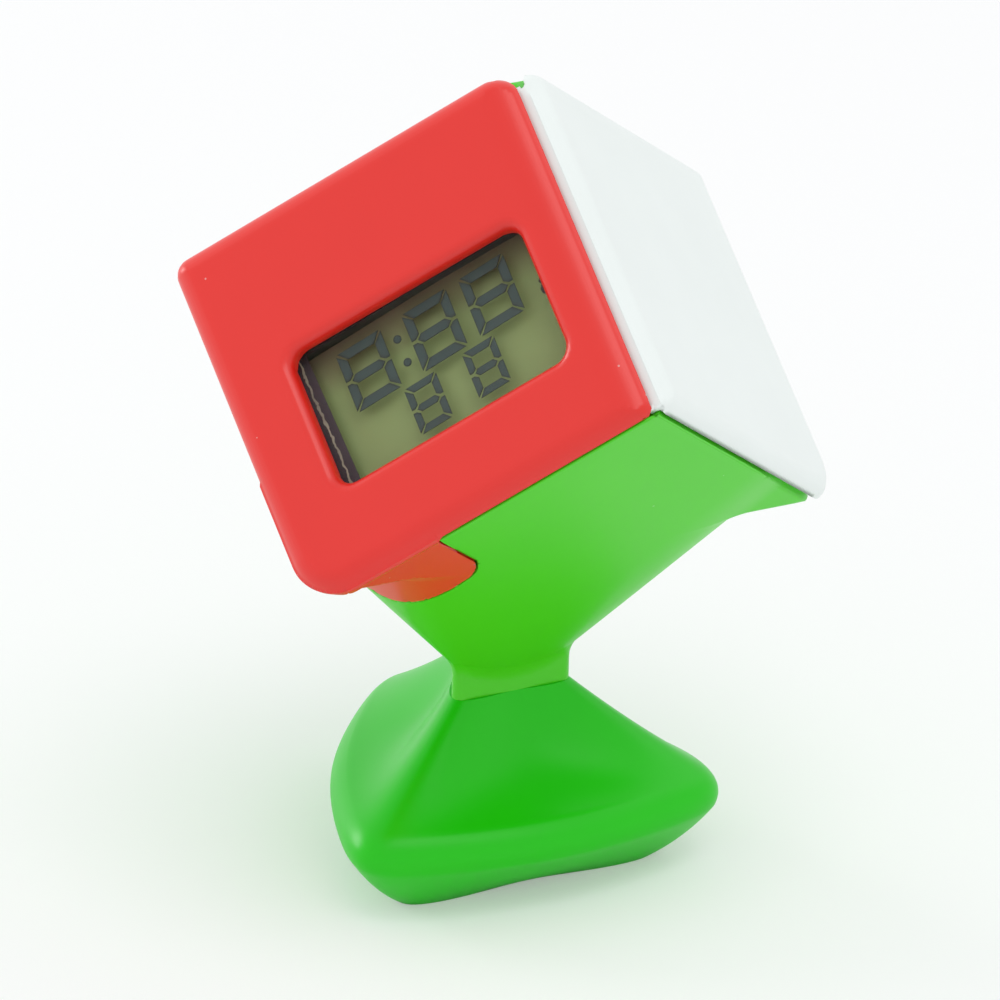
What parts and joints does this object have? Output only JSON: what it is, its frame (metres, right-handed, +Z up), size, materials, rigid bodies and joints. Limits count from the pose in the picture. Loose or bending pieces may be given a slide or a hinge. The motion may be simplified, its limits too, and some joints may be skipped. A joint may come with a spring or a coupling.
{
  "type": "speed cube timer",
  "caption": "Desk timer shaped as a large puzzle-cube corner: red LCD cap, white press plate and green body on a waisted foot.",
  "frame": {"origin": "centre of the foot's flat underside, on the desk", "axes": "+Z up along the cube's body diagonal; the display face looks toward -Y and up; the start plate is on the +X side and the service face on the -X side"},
  "size_m": [0.0482, 0.0552, 0.0719],
  "materials": {
    "red_cap": "satin-gloss red moulding, slightly translucent at its edges",
    "white_plate": "satin-gloss white moulding",
    "green_body": "satin-gloss green moulding, slightly translucent",
    "green_foot": "satin-gloss green moulding, slightly translucent",
    "screw_steel": "zinc-plated",
    "lcd_glass": "clear, greenish at its edges",
    "polarizer_film": "anti-glare film",
    "reflector_film": "olive reflective film",
    "lcd_ink": "darkened liquid crystal",
    "lcd_seal_line": "printed resin line",
    "lcd_resin": "cured resin",
    "frame_plastic": "white moulding",
    "zebra_rubber": "layered silicone",
    "board_laminate": "green solder mask",
    "nickel_can": "nickel-plated steel",
    "capacitor_ceramic": "fired ceramic with tinned ends",
    "black_plastic": "moulded",
    "plunger_plastic": "moulded",
    "contact_brass": "plated spring metal",
    "red_wire": "insulated wire",
    "black_wire": "insulated wire"
  },
  "bodies": {
    "housing": {"display_cap": "red_cap", "body_shell": "green_body", "foot": "green_foot", "foot_screw": "screw_steel", "foot_plug": "green_foot", "lcd_front_glass": "lcd_glass", "lcd_rear_glass": "lcd_glass", "front_polarizer": "polarizer_film", "rear_reflector": "reflector_film", "lcd_segments": "lcd_ink", "lcd_seal": "lcd_seal_line", "lcd_fill_plug": "lcd_resin", "lcd_frame": "frame_plastic", "zebra_strip": "zebra_rubber", "circuit_board": "board_laminate", "chip_blob": "lcd_resin", "crystal": "nickel_can", "chip_capacitors": "capacitor_ceramic", "chip_resistors": "black_plastic", "board_screws": "screw_steel", "start_switch": "black_plastic", "reset_switch": "black_plastic", "button_cell": "nickel_can", "negative_contact": "contact_brass", "positive_contact": "contact_brass", "positive_wire": "red_wire", "negative_wire": "black_wire"},
    "start_plate": {"start_plate": "white_plate", "start_plunger": "plunger_plastic"},
    "reset_button": {"reset_button": "white_plate", "reset_plunger": "plunger_plastic"},
    "battery_door": {"battery_door": "green_body", "battery_door_screws": "screw_steel"}
  },
  "joints": [
    {"name": "start_plate_press", "type": "slide", "parent": "housing", "child": "start_plate", "axis": [-0.7071, -0.4082, -0.5774], "range_m": [0, 0.00025], "stiffness_N_per_m": 2000, "springref_m": -0.0001},
    {"name": "reset_button_press", "type": "slide", "parent": "housing", "child": "reset_button", "axis": [0.7071, -0.4082, -0.5774], "range_m": [0, 0.00025], "stiffness_N_per_m": 2000, "springref_m": -0.0001},
    {"name": "battery_door_lift", "type": "slide", "parent": "housing", "child": "battery_door", "axis": [-0.7071, 0.4082, 0.5774], "range_m": [0, 0.008]}
  ]
}
